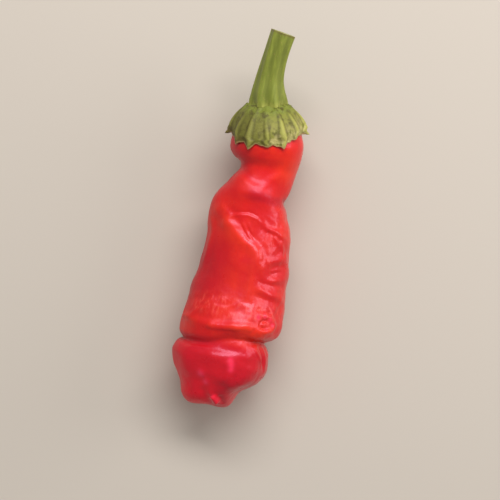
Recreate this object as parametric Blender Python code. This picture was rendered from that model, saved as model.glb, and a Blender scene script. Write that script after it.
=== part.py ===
"""A peter pepper as picked: a folded, lobed red pod with its ribbed green calyx and its cut stalk.

The pepper lies on a table. +Z is up, the stalk points along +Y and the blossom end along -Y. The
pod rests on small flats at height 0, and the origin is under the middle of the whole pepper.

Sizes are in millimetres, and MM turns them into Blender's metres. A place on the pod is given by
its depth, the distance down the pod from the hem of the calyx towards the blossom end, and by its
turn about the pod's spine, in degrees: 0 is the right side (+X), 90 the front (up), 180 the left.
"""

import math

import bmesh
import bpy
import numpy as np
from mathutils import Vector, noise

MM = 0.001

# How far the pod reaches, and how much of each end is rounded off
POD_TOP = -9.0
POD_TIP = 92.3
TOP_DOME = 8.4
TIP_DOME = 6.0
TOP_SQUARENESS = 3.0
TIP_SQUARENESS = 3.0

# The pod's spine: depth, place across and height above the table
SPINE = (
    (-14.0, -2.7, 21.5),
    (-9.0, -1.8, 19.9),
    (-5.0, -1.1, 18.6),
    (0.0, -0.3, 17.2),
    (6.0, 0.4, 15.9),
    (12.0, 0.3, 15.0),
    (18.0, -0.6, 14.4),
    (25.0, -1.1, 14.1),
    (33.0, -0.3, 14.1),
    (45.0, 0.0, 14.4),
    (62.0, 0.0, 15.1),
    (72.0, -0.1, 15.0),
    (78.0, -0.8, 14.8),
    (84.0, -2.0, 14.6),
    (90.0, -3.0, 14.5),
    (96.0, -3.8, 14.4),
)

# The pod's outline: depth, and the radius from the spine to each side
LEFT_SIDE = (
    (-9.0, 11.3),
    (-1.6, 11.5),
    (1.5, 12.2),
    (4.5, 12.2),
    (7.2, 11.0),
    (9.3, 8.5),
    (11.6, 7.5),
    (14.2, 7.9),
    (18.2, 10.1),
    (21.2, 11.9),
    (24.4, 13.2),
    (28.5, 14.0),
    (35.0, 13.8),
    (43.0, 14.1),
    (48.5, 14.6),
    (52.5, 15.7),
    (58.0, 16.1),
    (64.0, 16.8),
    (70.0, 16.8),
    (76.0, 17.2),
    (80.0, 17.2),
    (83.0, 15.4),
    (86.0, 12.3),
    (88.5, 10.3),
    (91.0, 9.6),
    (94.0, 9.6),
)
RIGHT_SIDE = (
    (-9.0, 11.3),
    (-1.6, 11.6),
    (2.0, 12.5),
    (6.0, 12.2),
    (10.0, 11.4),
    (15.0, 11.3),
    (19.5, 11.0),
    (24.0, 12.5),
    (28.0, 13.0),
    (33.0, 14.4),
    (38.0, 14.9),
    (44.0, 15.6),
    (52.0, 16.3),
    (58.0, 17.0),
    (63.0, 17.3),
    (66.0, 16.6),
    (69.0, 14.9),
    (73.0, 15.0),
    (76.0, 15.6),
    (79.2, 14.6),
    (82.2, 11.6),
    (85.0, 9.6),
    (88.0, 9.0),
    (91.0, 9.2),
    (94.0, 9.2),
)
FRONT_SIDE = (
    (-9.0, 11.0),
    (-1.6, 11.4),
    (2.0, 12.0),
    (5.0, 11.7),
    (9.0, 10.0),
    (13.0, 10.2),
    (18.0, 12.4),
    (22.5, 13.6),
    (27.0, 13.7),
    (34.0, 13.2),
    (44.0, 13.6),
    (55.0, 14.2),
    (59.0, 14.9),
    (64.0, 16.0),
    (68.0, 15.3),
    (72.0, 14.9),
    (76.0, 15.9),
    (81.0, 15.2),
    (86.0, 12.4),
    (90.0, 10.3),
    (94.0, 9.6),
)
BACK_SIDE = (
    (-9.0, 11.0),
    (-1.6, 11.4),
    (3.0, 11.9),
    (9.0, 10.9),
    (14.0, 11.4),
    (20.0, 13.6),
    (27.0, 14.4),
    (34.0, 13.9),
    (44.0, 13.8),
    (54.0, 14.6),
    (60.0, 15.5),
    (65.0, 15.6),
    (69.0, 14.9),
    (75.0, 15.2),
    (81.0, 14.6),
    (86.0, 12.2),
    (90.0, 10.3),
    (94.0, 9.6),
)

# Shallow furrows that run along the pod: how many, how deep as a share of the radius, where the
# first crest is, and how many degrees they twist with each millimetre of depth
LOBES = (
    (3, 0.022, 28.0, 0.25),
    (5, 0.010, 25.0, -0.40),
)
LOBES_START = 12.0
LOBES_FULL = 26.0

# The ring groove between the rolled rim and the end lobe: turn and depth, then turn and cut
GROOVE_LINE = (
    (0, 68.9),
    (60, 69.0),
    (92, 69.5),
    (118, 72.0),
    (150, 73.2),
    (180, 73.2),
    (230, 71.2),
    (300, 69.4),
    (360, 68.9),
)
GROOVE_CUT = (
    (0, 2.7),
    (60, 2.5),
    (100, 2.2),
    (140, 2.1),
    (180, 2.1),
    (240, 2.6),
    (300, 2.7),
    (360, 2.7),
)
GROOVE_WIDTH = 1.5
GROOVE_SHARPNESS = 1.3

# The middle of the groove and how far from it the rings of the solid bend to follow it
GROOVE_MIDDLE = 70.4
GROOVE_REACH = 9.0

# Folds: lines drawn on the skin through (turn, depth), each with its height and half its width
FOLDS = (
    # The arch on the upper front, and the long fold that falls from it to the right
    (0.85, 1.30, ((119, 30.0), (110, 27.9), (101, 26.8), (86, 26.4), (74, 27.3), (60, 28.8))),
    (1.05, 1.35, ((120, 29.0), (113, 31.2), (99, 33.2), (85, 35.5), (75, 37.7), (68, 40.2), (66, 42.6))),
    (0.55, 1.70, ((69, 40.0), (73, 45.0), (71, 50.0), (67, 56.0), (64, 60.0))),
    # Short folds across the right flank
    (0.65, 1.10, ((64, 28.7), (46, 30.9), (22, 31.6))),
    (0.60, 1.10, ((62, 35.8), (46, 35.9), (20, 35.2))),
    (0.60, 1.05, ((61, 39.8), (44, 39.5), (17, 38.6))),
    (0.55, 1.05, ((55, 44.6), (36, 46.6), (12, 46.2))),
    (0.75, 1.10, ((66, 50.4), (50, 51.0), (30, 52.2), (10, 53.4))),
    # The upper edge of the rolled rim, and its crest
    (0.45, 1.20, ((182, 64.8), (154, 62.3), (131, 59.2), (110, 57.6), (84, 57.2), (62, 58.4))),
    (0.40, 1.60, ((125, 64.4), (100, 63.6), (80, 63.2), (62, 63.0))),
    # The fold on the right of the end lobe
    (0.55, 0.90, ((48, 71.6), (38, 74.4), (27, 77.0), (20, 80.5))),
    # The soft fold down the front of the end lobe
    (0.45, 1.70, ((84, 73.5), (81, 77.5), (78, 82.0))),
    # Folds on the left flank and round the back
    (0.40, 1.60, ((150, 27.0), (145, 34.0), (147, 42.0), (152, 49.0))),
    (0.75, 1.40, ((330, 24.0), (305, 26.8), (282, 27.2), (262, 25.4))),
    (0.70, 1.40, ((344, 33.0), (318, 35.4), (296, 38.8), (284, 43.8))),
    (0.65, 1.30, ((232, 32.6), (250, 36.2), (266, 37.0), (280, 35.0))),
    (0.65, 1.40, ((216, 40.4), (236, 43.4), (254, 43.6))),
    (0.60, 1.50, ((350, 58.4), (322, 56.4), (290, 57.4), (258, 57.0), (226, 58.6), (200, 61.0))),
    (0.60, 1.40, ((336, 44.0), (318, 47.8), (300, 50.4))),
)

# Creases: as folds, but pressed in
CREASES = (
    (0.80, 1.10, ((150, 8.0), (172, 10.2), (196, 11.2), (220, 10.0))),
    (0.55, 1.10, ((30, 17.6), (8, 19.6), (-14, 19.4), (-34, 17.6))),
    (0.70, 1.60, ((96, 29.6), (84, 31.2), (74, 33.6))),
    (0.60, 1.00, ((60, 33.4), (44, 33.4), (22, 33.4))),
    (0.50, 0.90, ((60, 37.8), (44, 37.8), (20, 36.9))),
    (0.60, 1.10, ((60, 42.2), (40, 43.0), (16, 42.4))),
    (0.55, 1.10, ((62, 47.6), (44, 48.8), (20, 49.4))),
    (0.50, 1.20, ((150, 55.2), (128, 54.6), (104, 54.4))),
    (0.60, 0.90, ((40, 71.6), (31, 74.6), (21, 77.4))),
    (0.50, 1.30, ((318, 30.0), (296, 31.8), (272, 31.6))),
    (0.50, 1.20, ((306, 53.4), (280, 54.0), (250, 53.0))),
)

# Bumps and dimples: height (negative for a dimple), radius, turn and depth
BUMPS = (
    (0.60, 2.4, 46, 61.8),
    (-1.35, 1.10, 46, 61.8),
    (0.60, 3.6, 113, 83.0),
    (0.45, 3.0, 60, 82.0),
    (0.50, 4.0, 150, 24.0),
    (0.45, 3.5, 300, 80.0),
    (0.45, 3.5, 236, 79.0),
)

# The blossom end: lobes round a small nub, and the creases between them
TIP_BUMPS = (
    (1.60, 4.4, 172, 91.6),
    (0.70, 3.6, 136, 91.8),
    (0.30, 2.6, 22, 91.2),
    (0.80, 3.0, 262, 91.4),
    (0.60, 2.6, 318, 91.0),
)
TIP_CREASES = (
    (0.95, 1.15, ((108, 87.2), (100, 89.4), (88, 91.2), (70, 92.1))),
    (0.80, 1.00, ((64, 88.6), (52, 90.4), (36, 91.7))),
    (0.80, 1.30, ((214, 86.6), (216, 90.0), (222, 91.8))),
    (0.70, 1.20, ((298, 86.6), (294, 90.0), (288, 91.8))),
)
NUB = (1.05, 1.15, ((92, 88.2), (78, 89.8), (62, 91.0)))

# The skin's slow unevenness, which fades out under the calyx
UNEVEN_HEIGHT = 0.45
UNEVEN_SIZE = 8.0
UNEVEN_START = 3.0
UNEVEN_FULL = 12.0

# How finely the solids are divided
POD_SEGMENTS = 60
POD_RINGS = 82
CALYX_SEGMENTS = 84
CALYX_RINGS = 22
STALK_SEGMENTS = 30
STALK_RINGS = 24

# Where the pod's rings go: the share of them in each dome, then, between the domes, a share of
# the rings with the share of the way that it covers
DOME_SHARE = 0.11
RING_SPACING = ((0.0, 0.0), (0.66, 0.77), (0.87, 0.868), (1.0, 1.0))

# The calyx: the depth of its hem between the teeth, its wall and the clearance to the pod
HEM = -1.5
CLEARANCE = 0.3
WALL_AT_HEM = 0.5
WALL_AT_SHOULDER = 1.0

# On the way from the stalk to the hem, the shares where the flat plate under the stalk ends and
# where the straight skirt starts, the skirt's length, and how far the shoulder between them swells
PLATE_SHARE = 0.30
SKIRT_SHARE = 0.62
SKIRT = 2.5
PLATE_DEPTH = -11.2
PLATE_RADIUS = 7.2
SHOULDER_BULGE = 0.8

# Its ribs: turn, height, length of the tooth past the hem, and how far the tooth stands off
RIBS = (
    (3, 1.05, 0.9, 2.1),
    (36, 0.80, 0.5, 0.1),
    (63, 1.05, 2.3, 0.1),
    (90, 0.75, 1.6, 0.1),
    (116, 1.05, 3.0, 0.2),
    (142, 0.85, 2.4, 0.2),
    (176, 1.05, 0.8, 2.1),
    (206, 0.80, 1.4, 0.3),
    (234, 1.05, 2.6, 0.9),
    (263, 0.75, 1.2, 0.2),
    (292, 1.05, 2.8, 0.4),
    (326, 0.80, 1.5, 0.3),
)
RIB_HALF_TURN = 3.7
RIB_START = 0.25
RIB_FULL = 0.60
RIB_LEFT_AT_HEM = 0.4
TOOTH_HALF_TURN = 8.5
TOOTH_POINT = 1.2

# The stalk's middle line from its cut end to its foot: across, along and height, with its radius
STALK_ROUTE = (
    (-1.70, 34.80, 26.50, 4.40),
    (-2.20, 31.50, 26.00, 4.25),
    (-2.70, 27.50, 25.20, 4.20),
    (-3.10, 23.00, 24.10, 4.40),
    (-3.20, 19.00, 23.00, 4.85),
    (-2.90, 15.60, 22.05, 5.60),
    (-2.50, 13.20, 21.30, 6.30),
    (-2.15, 11.45, 20.75, 7.00),
)
STALK_RIDGE_SHARE = 0.12
STALK_RIDGE_HALF_TURN = 15.0
STALK_TWIST = 18.0
STALK_CAP = 3

# The table top that flattens the pod's low points
TABLE_SIDE = 240.0
TABLE_DEPTH = 20.0

COLOURS = {
    "pod": ((0.56, 0.012, 0.016), 0.25),
    "calyx": ((0.150, 0.165, 0.035), 0.60),
    "stalk": ((0.235, 0.300, 0.055), 0.50),
}


def through(points, places):
    """Values at the places asked for, on a smooth curve through (place, value) points."""
    at, value = np.array(points, float).T
    slope = np.gradient(value, at)
    start = np.clip(np.searchsorted(at, places, side="right") - 1, 0, len(at) - 2)
    span = at[start + 1] - at[start]
    t = np.clip((places - at[start]) / span, 0.0, 1.0)
    return (
        value[start] * (1 + 2 * t) * (1 - t) ** 2
        + value[start + 1] * t**2 * (3 - 2 * t)
        + slope[start] * span * t * (1 - t) ** 2
        - slope[start + 1] * span * t**2 * (1 - t)
    )


def step(low, high, value):
    """0 below low, 1 above high, and smooth between them."""
    t = np.clip((value - low) / (high - low), 0.0, 1.0)
    return t * t * (3 - 2 * t)


def unit(vectors):
    length = np.linalg.norm(vectors, axis=-1, keepdims=True)
    return vectors / np.maximum(length, 1e-9)


def spine(depth):
    across = through([(d, x) for d, x, _ in SPINE], depth)
    height = through([(d, z) for d, _, z in SPINE], depth)
    return np.stack([across, -depth, height], axis=-1)


def section(depth):
    """The spine's point at a depth, with the directions across, to the front and down the pod."""
    reach = 0.5
    middle = spine(depth)
    down = unit(spine(depth + reach) - spine(depth - reach))
    right = np.array([1.0, 0.0, 0.0])
    across = unit(right - down * (down @ right)[..., None])
    return middle, across, np.cross(down, across), down


def rounded(share, squareness):
    """The radius left, as a share, at a share of the way into a rounded end."""
    return np.clip(1 - np.clip(share, 0, 1) ** squareness, 0, 1) ** (1 / squareness)


def dome(depth):
    """1 along the pod, falling to 0 at its top and its tip."""
    top = rounded((POD_TOP + TOP_DOME - depth) / TOP_DOME, TOP_SQUARENESS)
    tip = rounded((depth - POD_TIP + TIP_DOME) / TIP_DOME, TIP_SQUARENESS)
    return top * tip


def plain_skin(turn, depth):
    """The pod without its folds: its outline, its furrows and its ring groove."""
    angle = np.radians(turn)
    cosine, sine = np.cos(angle), np.sin(angle)
    left, right = through(LEFT_SIDE, depth), through(RIGHT_SIDE, depth)
    front, back = through(FRONT_SIDE, depth), through(BACK_SIDE, depth)
    wide = (right + left) / 2 + (right - left) / 2 * cosine
    deep = (front + back) / 2 + (front - back) / 2 * sine
    lobes = 1.0
    for count, share, crest, twist in LOBES:
        wave = np.cos(count * (angle - np.radians(crest + twist * depth)))
        lobes = lobes + share * wave * step(LOBES_START, LOBES_FULL, depth)
    round_turn = np.mod(turn, 360.0)
    off_groove = np.abs(depth - through(GROOVE_LINE, round_turn)) / GROOVE_WIDTH
    cut = through(GROOVE_CUT, round_turn) * np.exp(-(off_groove**GROOVE_SHARPNESS))
    share = dome(depth) * (lobes - cut / ((wide + deep) / 2))
    middle, across, outward, _ = section(depth)
    return (
        middle
        + across * (wide * cosine * share)[..., None]
        + outward * (deep * sine * share)[..., None]
    )


def plain_normal(turn, depth):
    """The direction out of the plain skin. At the two ends it is the spine's."""
    reach_turn, reach_depth = 1.0, 0.05
    low = np.maximum(depth - reach_depth, POD_TOP + 0.002)
    high = np.minimum(depth + reach_depth, POD_TIP - 0.002)
    along_turn = plain_skin(turn + reach_turn, depth) - plain_skin(turn - reach_turn, depth)
    along_depth = plain_skin(turn, high) - plain_skin(turn, low)
    normal = np.cross(along_turn, along_depth)
    size = np.linalg.norm(normal, axis=-1)
    _, _, _, down = section(depth)
    ends = np.where((depth > 0)[..., None], down, -down)
    return np.where((size < 1e-6)[..., None], ends, unit(normal))


def near_line(points, turns_and_depths):
    """Each point's distance from a line on the skin, and its share of the way along the line."""
    steps = 12 * len(turns_and_depths)
    share = np.linspace(0, 1, steps)
    knots = np.linspace(0, 1, len(turns_and_depths))
    turn = through(list(zip(knots, [t for t, _ in turns_and_depths])), share)
    depth = through(list(zip(knots, [d for _, d in turns_and_depths])), share)
    line = plain_skin(turn, depth)
    distance = np.full(len(points), np.inf)
    along = np.zeros(len(points))
    for place, where in zip(line, share):
        gap = np.linalg.norm(points - place, axis=1)
        closer = gap < distance
        distance[closer] = gap[closer]
        along[closer] = where
    return distance, along


def line_relief(points, height, half_width, turns_and_depths):
    """How high a fold stands at each point. It dies away towards both of its ends."""
    distance, along = near_line(points, turns_and_depths)
    fade = step(0.0, 0.25, along) * step(0.0, 0.25, 1 - along) * 0.75 + 0.25
    return height * fade * np.exp(-((distance / half_width) ** 2))


def spot_relief(points, height, radius, turn, depth):
    place = plain_skin(np.array([float(turn)]), np.array([float(depth)]))
    distance = np.linalg.norm(points - place, axis=1)
    return height * np.exp(-((distance / radius) ** 2))


def relief(points, depth):
    """How far the skin stands out from the plain skin at each point, in millimetres."""
    out = np.zeros(len(points))
    for height, half_width, line in FOLDS + (NUB,):
        out += line_relief(points, height, half_width, line)
    for height, half_width, line in CREASES + TIP_CREASES:
        out -= line_relief(points, height, half_width, line)
    for height, radius, turn, spot_depth in BUMPS + TIP_BUMPS:
        out += spot_relief(points, height, radius, turn, spot_depth)
    uneven = np.array([noise.noise(Vector(p / UNEVEN_SIZE)) for p in points])
    return out + uneven * UNEVEN_HEIGHT * step(UNEVEN_START, UNEVEN_FULL, depth)


def skin(turn, depth):
    """Points on the finished pod."""
    points = plain_skin(turn, depth)
    return points + plain_normal(turn, depth) * relief(points, depth)[:, None]


def ring_depth(fall):
    """The depth of a ring of the pod, for its share of the way from pole to pole."""
    top = POD_TOP + TOP_DOME * (1 - np.cos(np.clip(fall / DOME_SHARE, 0, 1) * math.pi / 2))
    tip = TIP_DOME * (1 - np.cos(np.clip((1 - fall) / DOME_SHARE, 0, 1) * math.pi / 2))
    way = np.clip((fall - DOME_SHARE) / (1 - 2 * DOME_SHARE), 0, 1)
    length = POD_TIP - TIP_DOME - POD_TOP - TOP_DOME
    shares, places = zip(*RING_SPACING)
    between = POD_TOP + TOP_DOME + length * np.interp(way, shares, places)
    ends = np.where(fall < 0.5, top, POD_TIP - tip)
    return np.where(np.minimum(fall, 1 - fall) < DOME_SHARE, ends, between)


def off_turn(turn, centre):
    """How many degrees apart two turns are, from -180 to 180."""
    return (turn - centre + 180) % 360 - 180


def ribs(turn):
    """At each turn, the height of the rib, the length of the tooth and how far it stands off."""
    height, length, stand = np.zeros((3, len(turn)))
    for centre, rib_height, tooth_length, flare in RIBS:
        off = np.abs(off_turn(turn, centre))
        tooth = np.clip(1 - off / TOOTH_HALF_TURN, 0, 1) ** TOOTH_POINT
        height += rib_height * np.exp(-((off / RIB_HALF_TURN) ** 2))
        length += tooth_length * tooth
        stand += flare * tooth
    return height, length, stand


def disc(turn, depth, radius):
    """Points round the spine at one depth, with the directions out from it and up it."""
    middle, across, outward, down = section(np.full(len(turn), depth))
    angle = np.radians(turn)[:, None]
    out = across * np.cos(angle) + outward * np.sin(angle)
    return middle + out * radius[:, None], unit(out - down)


def calyx_place(turn, fall):
    """A point of the calyx. The first half of the fall is its outside, the second its inside."""
    way = 2 * np.minimum(fall, 1 - fall)
    rib, length, stand = ribs(turn)
    skirt = np.clip((way - SKIRT_SHARE) / (1 - SKIRT_SHARE), 0, 1)
    arc = np.sin(np.clip(way / SKIRT_SHARE, 0, 1) * math.pi / 2)
    skirt_top = HEM - SKIRT
    depth = POD_TOP + (skirt_top - POD_TOP) * (1 - np.sqrt(np.clip(1 - arc**2, 0, 1)))
    depth = depth + (SKIRT + length) * skirt
    normal = plain_normal(turn, depth)
    lift = CLEARANCE + stand * step(0.5, 1.0, skirt)
    inner = plain_skin(turn, depth) + normal * lift[:, None]
    wall = WALL_AT_SHOULDER + (WALL_AT_HEM - WALL_AT_SHOULDER) * step(SKIRT_SHARE, 1.0, way)
    wall += rib * step(RIB_START, RIB_FULL, way) * (1 - (1 - RIB_LEFT_AT_HEM) * step(0.6, 1.0, skirt))
    outer = inner + normal * wall[:, None]
    plate, corner = disc(turn, PLATE_DEPTH, PLATE_RADIUS * np.clip(way / PLATE_SHARE, 0, 1))
    blend = step(PLATE_SHARE, SKIRT_SHARE, way)[:, None]
    bulge = corner * SHOULDER_BULGE * 4 * blend * (1 - blend)
    outer = plate * (1 - blend) + outer * blend + bulge
    return np.where((fall <= 0.5)[:, None], outer, inner)


def material(name):
    colour, roughness = COLOURS[name]
    made = bpy.data.materials.new(name)
    made.use_nodes = True
    shader = made.node_tree.nodes["Principled BSDF"]
    shader.inputs["Base Color"].default_value = (*colour, 1.0)
    shader.inputs["Roughness"].default_value = roughness
    shader.inputs["Metallic"].default_value = 0.0
    return made


def collection(name):
    made = bpy.data.collections.new(name)
    bpy.context.scene.collection.children.link(made)
    return made


def shaped_sphere(name, segments, rings, place):
    """A sphere whose points are moved to place(turn, fall), fall being the way from pole to pole."""
    made = bmesh.new()
    bmesh.ops.create_uvsphere(made, u_segments=segments, v_segments=rings, radius=1.0)
    points = np.array([vert.co[:] for vert in made.verts], float)
    turn = np.degrees(np.arctan2(-points[:, 1], points[:, 0]))
    fall = np.arccos(np.clip(points[:, 2], -1, 1)) / math.pi
    fall = np.round(fall * rings) / rings
    for vert, moved in zip(made.verts, place(turn, fall)):
        vert.co = Vector(moved) * MM
    mesh = bpy.data.meshes.new(name)
    made.to_mesh(mesh)
    made.free()
    mesh.shade_smooth()
    mesh.materials.append(material(name))
    return bpy.data.objects.new(name, mesh)


def pod_place(turn, fall):
    depth = ring_depth(fall)
    off = through(GROOVE_LINE, np.mod(turn, 360.0)) - GROOVE_MIDDLE
    return skin(turn, depth + off * np.exp(-(((depth - GROOVE_MIDDLE) / GROOVE_REACH) ** 2)))


def stalk_place(turn, fall):
    """A point of the stalk: over the cut end, along its ridged side and over its foot."""
    cap = STALK_CAP / STALK_RINGS
    way = np.clip((fall - cap) / (1 - 2 * cap), 0, 1)
    knots = np.linspace(0, 1, len(STALK_ROUTE))
    columns = [list(zip(knots, column)) for column in zip(*STALK_ROUTE)]
    middle = np.stack([through(column, way) for column in columns[:3]], axis=-1)
    reach = 0.02
    ahead = np.stack([through(column, way + reach) for column in columns[:3]], axis=-1)
    behind = np.stack([through(column, way - reach) for column in columns[:3]], axis=-1)
    down = unit(ahead - behind)
    right = np.array([1.0, 0.0, 0.0])
    across = unit(right - down * (down @ right)[:, None])
    outward = np.cross(down, across)
    ridges = np.zeros(len(turn))
    for centre, _, _, _ in RIBS[::2]:
        off = off_turn(turn, centre + STALK_TWIST * (1 - way))
        ridges += np.exp(-((off / STALK_RIDGE_HALF_TURN) ** 2))
    radius = through(columns[3], way) * (1 - STALK_RIDGE_SHARE * (1 - ridges))
    radius = radius * np.clip(np.minimum(fall, 1 - fall) / cap, 0, 1)
    angle = np.radians(turn)
    return (
        middle
        + across * (radius * np.cos(angle))[:, None]
        + outward * (radius * np.sin(angle))[:, None]
    )


def make_table(cutters):
    """The block under the table top, which takes the pod's low points off flat at height 0."""
    bpy.ops.mesh.primitive_cube_add(size=1.0, location=(0, 0, -TABLE_DEPTH / 2 * MM))
    table = bpy.context.object
    table.name = "table"
    table.scale = (TABLE_SIDE * MM, TABLE_SIDE * MM, TABLE_DEPTH * MM)
    table.hide_render = True
    table.display_type = "WIRE"
    for holder in table.users_collection:
        holder.objects.unlink(table)
    cutters.objects.link(table)
    return table


def rest_on(pod, table):
    cut = pod.modifiers.new("flats", "BOOLEAN")
    cut.operation = "DIFFERENCE"
    cut.solver = "EXACT"
    cut.object = table


def centre_over_origin(holder, pieces):
    """Moves the holder so that the middle of the pieces is over the origin."""
    bpy.context.view_layer.update()
    graph = bpy.context.evaluated_depsgraph_get()
    corners = []
    for piece in pieces:
        shown = piece.evaluated_get(graph)
        corners += [shown.matrix_world @ Vector(corner) for corner in shown.bound_box]
    for axis in (0, 1):
        places = [corner[axis] for corner in corners]
        holder.location[axis] -= (min(places) + max(places)) / 2


def main():
    for old in list(bpy.data.objects):
        bpy.data.objects.remove(old)
    pepper = collection("peter_pepper")
    cutters = collection("cutters")
    table = make_table(cutters)
    holder = bpy.data.objects.new("pepper", None)
    pepper.objects.link(holder)
    pieces = [
        shaped_sphere("pod", POD_SEGMENTS, POD_RINGS, pod_place),
        shaped_sphere("calyx", CALYX_SEGMENTS, CALYX_RINGS, calyx_place),
        shaped_sphere("stalk", STALK_SEGMENTS, STALK_RINGS, stalk_place),
    ]
    for piece in pieces:
        pepper.objects.link(piece)
        piece.parent = holder
    rest_on(pieces[0], table)
    centre_over_origin(holder, pieces)


main()
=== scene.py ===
"""The picture of a peter pepper as picked: a folded red pod, its ribbed calyx and its cut stalk.

Each of the three is made here again in fine detail, and stands for the solid of the same name.
The pepper lies on a pale floor and the camera looks down on it, with the stalk away from it.

Sizes are in millimetres unless a name says otherwise, and MM turns them into Blender's metres. A
place on the pod is its depth, the distance down it from the hem of the calyx, and its turn about
the pod's spine in degrees: 0 is the right side (+X), 90 the front (up), 180 the left.
"""

import math

import bpy
import numpy as np
from mathutils import Matrix, Vector, noise


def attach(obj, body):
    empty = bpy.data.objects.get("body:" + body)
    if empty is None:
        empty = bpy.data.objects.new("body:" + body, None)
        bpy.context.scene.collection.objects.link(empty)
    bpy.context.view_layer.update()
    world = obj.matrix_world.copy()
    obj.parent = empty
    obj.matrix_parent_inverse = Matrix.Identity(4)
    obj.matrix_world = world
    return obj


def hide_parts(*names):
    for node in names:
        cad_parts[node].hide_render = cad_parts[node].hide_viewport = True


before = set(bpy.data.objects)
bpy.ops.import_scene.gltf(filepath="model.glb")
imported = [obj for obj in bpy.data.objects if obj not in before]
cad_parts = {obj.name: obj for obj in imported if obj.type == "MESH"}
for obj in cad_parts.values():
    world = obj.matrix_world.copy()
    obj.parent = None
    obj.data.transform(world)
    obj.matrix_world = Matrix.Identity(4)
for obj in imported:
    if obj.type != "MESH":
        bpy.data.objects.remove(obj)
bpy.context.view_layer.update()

MM = 0.001

# How far the pod reaches, and how much of each end is rounded off
POD_TOP = -9.0
POD_TIP = 92.3
TOP_DOME = 8.4
TIP_DOME = 6.0
TOP_SQUARENESS = 3.0
TIP_SQUARENESS = 3.0

# The pod's spine: depth, place across and height above the floor
SPINE = (
    (-14.0, -2.7, 21.5),
    (-9.0, -1.8, 19.9),
    (-5.0, -1.1, 18.6),
    (0.0, -0.3, 17.2),
    (6.0, 0.4, 15.9),
    (12.0, 0.3, 15.0),
    (18.0, -0.6, 14.4),
    (25.0, -1.1, 14.1),
    (33.0, -0.3, 14.1),
    (45.0, 0.0, 14.4),
    (62.0, 0.0, 15.1),
    (72.0, -0.1, 15.0),
    (78.0, -0.8, 14.8),
    (84.0, -2.0, 14.6),
    (90.0, -3.0, 14.5),
    (96.0, -3.8, 14.4),
)

# The pod's outline: depth, and the radius from the spine to each side
LEFT_SIDE = (
    (-9.0, 11.3),
    (-1.6, 11.5),
    (1.5, 12.2),
    (4.5, 12.2),
    (7.2, 11.0),
    (9.3, 8.5),
    (11.6, 7.5),
    (14.2, 7.9),
    (18.2, 10.1),
    (21.2, 11.9),
    (24.4, 13.2),
    (28.5, 14.0),
    (35.0, 13.8),
    (43.0, 14.1),
    (48.5, 14.6),
    (52.5, 15.7),
    (58.0, 16.1),
    (64.0, 16.8),
    (70.0, 16.8),
    (76.0, 17.2),
    (80.0, 17.2),
    (83.0, 15.4),
    (86.0, 12.3),
    (88.5, 10.3),
    (91.0, 9.6),
    (94.0, 9.6),
)
RIGHT_SIDE = (
    (-9.0, 11.3),
    (-1.6, 11.6),
    (2.0, 12.5),
    (6.0, 12.2),
    (10.0, 11.4),
    (15.0, 11.3),
    (19.5, 11.0),
    (24.0, 12.5),
    (28.0, 13.0),
    (33.0, 14.4),
    (38.0, 14.9),
    (44.0, 15.6),
    (52.0, 16.3),
    (58.0, 17.0),
    (63.0, 17.3),
    (66.0, 16.6),
    (69.0, 14.9),
    (73.0, 15.0),
    (76.0, 15.6),
    (79.2, 14.6),
    (82.2, 11.6),
    (85.0, 9.6),
    (88.0, 9.0),
    (91.0, 9.2),
    (94.0, 9.2),
)
FRONT_SIDE = (
    (-9.0, 11.0),
    (-1.6, 11.4),
    (2.0, 12.0),
    (5.0, 11.7),
    (9.0, 10.5),
    (12.0, 10.9),
    (15.0, 11.8),
    (17.5, 12.9),
    (19.0, 13.3),
    (21.0, 13.2),
    (23.5, 12.9),
    (27.0, 13.0),
    (34.0, 13.2),
    (44.0, 13.6),
    (54.0, 13.9),
    (58.0, 14.6),
    (62.0, 15.6),
    (65.0, 16.1),
    (69.0, 15.7),
    (72.0, 15.1),
    (76.5, 16.0),
    (81.0, 15.3),
    (86.0, 12.4),
    (90.0, 10.3),
    (94.0, 9.6),
)
BACK_SIDE = (
    (-9.0, 11.0),
    (-1.6, 11.4),
    (3.0, 11.9),
    (9.0, 10.9),
    (14.0, 11.4),
    (20.0, 13.6),
    (27.0, 14.4),
    (34.0, 13.9),
    (44.0, 13.8),
    (54.0, 14.6),
    (60.0, 15.5),
    (65.0, 15.6),
    (69.0, 14.9),
    (75.0, 15.2),
    (81.0, 14.6),
    (86.0, 12.2),
    (90.0, 10.3),
    (94.0, 9.6),
)

# Shallow furrows that run along the pod: how many, how deep as a share of the radius, where the
# first crest is, and how many degrees they twist with each millimetre of depth
LOBES = (
    (3, 0.022, 28.0, 0.25),
    (5, 0.010, 25.0, -0.40),
)
LOBES_START = 12.0
LOBES_FULL = 26.0

# The ring groove between the rolled rim and the end lobe: turn and depth of its bottom, turn and
# how deep it is cut, half its width, and how steep its walls are
GROOVE_LINE = (
    (0, 68.4),
    (60, 68.3),
    (90, 68.6),
    (104, 70.0),
    (118, 71.7),
    (140, 72.8),
    (180, 73.0),
    (230, 71.2),
    (300, 69.3),
    (360, 68.4),
)
GROOVE_CUT = (
    (0, 1.9),
    (40, 1.6),
    (70, 1.25),
    (140, 1.25),
    (180, 1.5),
    (240, 1.9),
    (300, 1.9),
    (360, 1.9),
)
GROOVE_WIDTH = 1.9
GROOVE_SHARPNESS = 1.7

# The rings of the pod bend to follow the groove: they do it about this depth, and this far from it
GROOVE_MIDDLE = 70.4
GROOVE_REACH = 9.0

# The sharp notch at the bottom of the groove: turn and cut
NOTCH_CUT = (
    (0, 1.1),
    (40, 0.8),
    (65, 0.3),
    (90, 0.05),
    (130, 0.05),
    (150, 0.3),
    (180, 0.9),
    (240, 1.0),
    (360, 1.1),
)
NOTCH_WIDTH = 0.8
NOTCH_SHARPNESS = 1.3

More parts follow.
